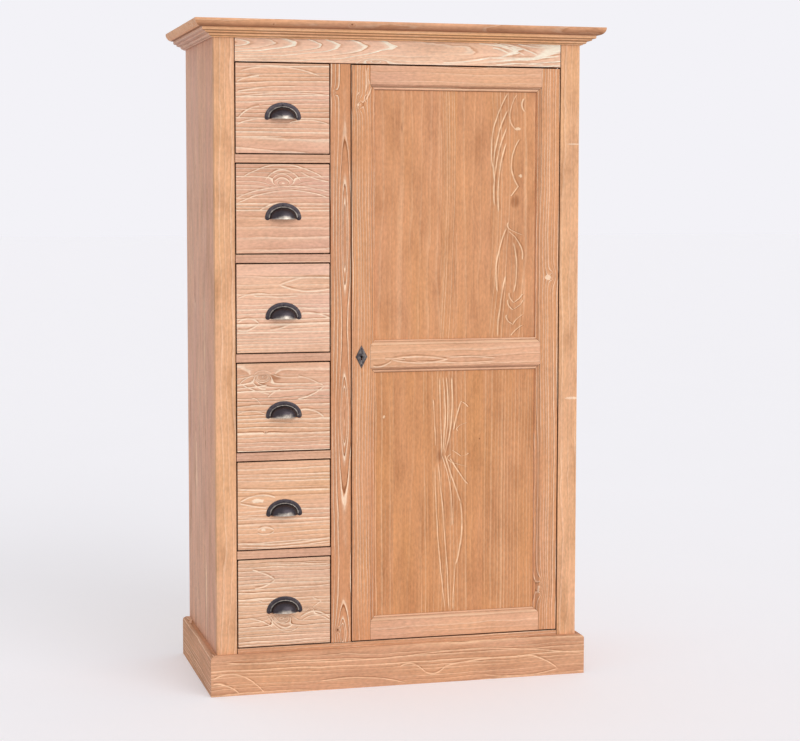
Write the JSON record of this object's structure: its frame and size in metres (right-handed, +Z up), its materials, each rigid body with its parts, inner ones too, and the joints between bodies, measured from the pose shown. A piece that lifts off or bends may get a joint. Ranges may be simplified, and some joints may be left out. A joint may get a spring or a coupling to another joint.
{
  "type": "drawer cabinet",
  "caption": "Tall free-standing pine cabinet: a column of drawers with cup pulls beside a full-height door with framed panels and a lock, under a moulded cornice.",
  "frame": {"origin": "on the floor, under the middle of the cabinet's bounding box", "axes": "+Z up, the drawers and the door face -Y, +X to the right as seen from the front"},
  "size_m": [1.195, 0.58, 1.9],
  "materials": {
    "case_pine": "stained pine, waxed, satin",
    "frame_pine": "brushed and stained pine, satin",
    "trim_pine": "brushed and stained pine, satin",
    "door_pine": "brushed and stained pine, satin",
    "panel_pine": "brushed and stained pine, satin",
    "drawer_pine": "brushed and stained pine, satin",
    "inner_pine": "bare pine",
    "old_iron": "dark antiqued iron, rubbed",
    "lock_steel": "plain steel"
  },
  "bodies": {
    "carcass": {"side_panel_left": "case_pine", "side_panel_right": "case_pine", "back_panel": "case_pine", "bottom_board": "case_pine", "partition_panel": "case_pine", "top_board": "trim_pine", "cornice_moulding_front": "trim_pine", "cornice_moulding_left": "trim_pine", "cornice_moulding_right": "trim_pine", "frame_stile_left": "frame_pine", "frame_stile_right": "frame_pine", "frame_mullion": "frame_pine", "frame_rail_top": "frame_pine", "frame_rail_bottom": "frame_pine", "drawer_divider_1": "frame_pine", "drawer_divider_2": "frame_pine", "drawer_divider_3": "frame_pine", "drawer_divider_4": "frame_pine", "drawer_divider_5": "frame_pine", "drawer_kicker_board": "case_pine", "plinth_front": "trim_pine", "plinth_left": "trim_pine", "plinth_right": "trim_pine", "shelf_1": "case_pine", "shelf_2": "case_pine", "shelf_3": "case_pine", "door_stop_strip": "case_pine", "strike_plate": "lock_steel", "pivot_plate_top": "lock_steel", "pivot_plate_bottom": "lock_steel"},
    "door": {"door_stile_lock": "door_pine", "door_stile_hinge": "door_pine", "door_rail_top": "door_pine", "door_rail_middle": "door_pine", "door_rail_bottom": "door_pine", "door_panel_upper": "panel_pine", "door_panel_lower": "panel_pine", "door_pivot_top": "lock_steel", "door_pivot_bottom": "lock_steel", "lock_case": "old_iron", "escutcheon": "old_iron"},
    "bolt": {"lock_bolt": "lock_steel"},
    "drawer_1": {"drawer_1_front": "drawer_pine", "drawer_1_box": "inner_pine", "drawer_1_pull": "old_iron"},
    "drawer_2": {"drawer_2_front": "drawer_pine", "drawer_2_box": "inner_pine", "drawer_2_pull": "old_iron"},
    "drawer_3": {"drawer_3_front": "drawer_pine", "drawer_3_box": "inner_pine", "drawer_3_pull": "old_iron"},
    "drawer_4": {"drawer_4_front": "drawer_pine", "drawer_4_box": "inner_pine", "drawer_4_pull": "old_iron"},
    "drawer_5": {"drawer_5_front": "drawer_pine", "drawer_5_box": "inner_pine", "drawer_5_pull": "old_iron"},
    "drawer_6": {"drawer_6_front": "drawer_pine", "drawer_6_box": "inner_pine", "drawer_6_pull": "old_iron"}
  },
  "joints": [
    {"name": "drawer_1_slide", "type": "slide", "parent": "carcass", "child": "drawer_1", "axis": [0, -1, 0], "range_m": [0, 0.34]},
    {"name": "drawer_2_slide", "type": "slide", "parent": "carcass", "child": "drawer_2", "axis": [0, -1, 0], "range_m": [0, 0.34]},
    {"name": "drawer_3_slide", "type": "slide", "parent": "carcass", "child": "drawer_3", "axis": [0, -1, 0], "range_m": [0, 0.34]},
    {"name": "drawer_4_slide", "type": "slide", "parent": "carcass", "child": "drawer_4", "axis": [0, -1, 0], "range_m": [0, 0.34]},
    {"name": "drawer_5_slide", "type": "slide", "parent": "carcass", "child": "drawer_5", "axis": [0, -1, 0], "range_m": [0, 0.34]},
    {"name": "drawer_6_slide", "type": "slide", "parent": "carcass", "child": "drawer_6", "axis": [0, -1, 0], "range_m": [0, 0.34]},
    {"name": "door_swing", "type": "hinge", "parent": "carcass", "child": "door", "pos_m": [0.4705, -0.224, 0.133], "axis": [0, 0, 1], "range_deg": [0, 105]},
    {"name": "lock_bolt_slide", "type": "slide", "parent": "door", "child": "bolt", "axis": [-1, 0, 0], "range_m": [0, 0.009]}
  ]
}
